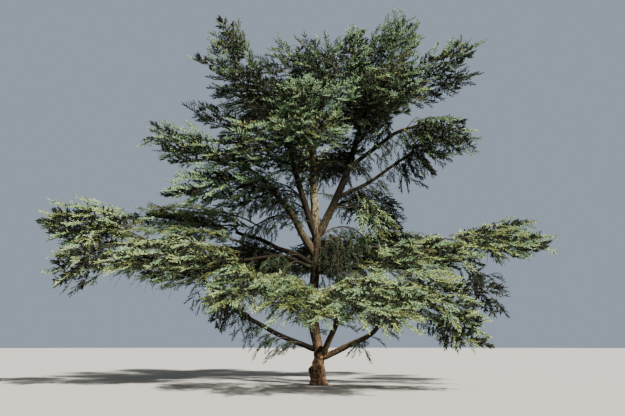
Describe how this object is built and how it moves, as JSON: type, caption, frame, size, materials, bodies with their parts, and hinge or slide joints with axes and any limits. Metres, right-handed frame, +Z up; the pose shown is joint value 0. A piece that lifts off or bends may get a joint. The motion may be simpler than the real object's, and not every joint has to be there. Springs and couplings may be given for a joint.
{
  "type": "cedar tree",
  "caption": "Wide, old blue-green cedar with a forked trunk, near-level boughs and foliage in layered plates and weeping sprays, fixed in level ground.",
  "frame": {"origin": "middle of the trunk's flat cut at ground level", "axes": "+Z up, +X along the crown's greatest width, -Y towards the side the picture shows"},
  "size_m": [23.7, 17.6, 18.7],
  "materials": {
    "trunk_bark": "deeply furrowed grey-brown bark, warmer near the ground",
    "stem_bark": "scaly light grey-brown bark",
    "bough_bark": "finer, darker grey-brown bark",
    "needles": "grey blue-green needles, olive in places, matt",
    "twigs": "thin grey-brown twigs"
  },
  "bodies": {
    "root": {"trunk": "trunk_bark", "stem_left_outer": "stem_bark", "stem_left_inner": "stem_bark", "stem_right": "stem_bark", "bough_right_upper": "bough_bark", "bough_right_mid": "bough_bark", "bough_right_inner": "bough_bark", "bough_left_mid": "bough_bark", "bough_left_mid_low": "bough_bark", "bough_left_low": "bough_bark", "bough_right_low_bare": "bough_bark", "bough_right_low_rising": "bough_bark", "bough_right_tier": "bough_bark", "bough_back_left": "bough_bark", "bough_back_mid": "bough_bark", "bough_back_right": "bough_bark", "mass_spire_left": "needles", "mass_left_high_arm": "needles", "mass_left_shoulder": "needles", "mass_second_top": "needles", "mass_left_dark": "needles", "mass_left_mid_arm": "needles", "mass_left_arm": "needles", "mass_left_body": "needles", "mass_left_under": "needles", "mass_dome_left": "needles", "mass_dome_right": "needles", "mass_centre_body": "needles", "mass_front_skirt": "needles", "mass_centre_back": "needles", "mass_tall_tip": "needles", "mass_right_arm": "needles", "mass_right_arm_under": "needles", "mass_right_body": "needles", "mass_right_fringe": "needles", "mass_right_hang_outer": "needles", "mass_right_hang_inner": "needles", "mass_upper_back_left": "needles", "mass_upper_back_right": "needles", "mass_inner_right": "needles", "mass_inner_right_weep": "needles", "mass_centre_weep": "needles", "mass_far_left": "needles", "mass_far_left_droop": "needles", "mass_left_plate_top": "needles", "mass_left_plate": "needles", "mass_left_cascade": "needles", "mass_left_front": "needles", "mass_front_centre": "needles", "mass_left_curtain": "needles", "mass_left_back": "needles", "mass_right_tip": "needles", "mass_right_tip_upper": "needles", "mass_right_tier": "needles", "mass_right_front": "needles", "mass_right_front_outer": "needles", "mass_right_droop": "needles", "mass_right_edge": "needles", "mass_right_back": "needles", "mass_back": "needles"}
  },
  "joints": []
}
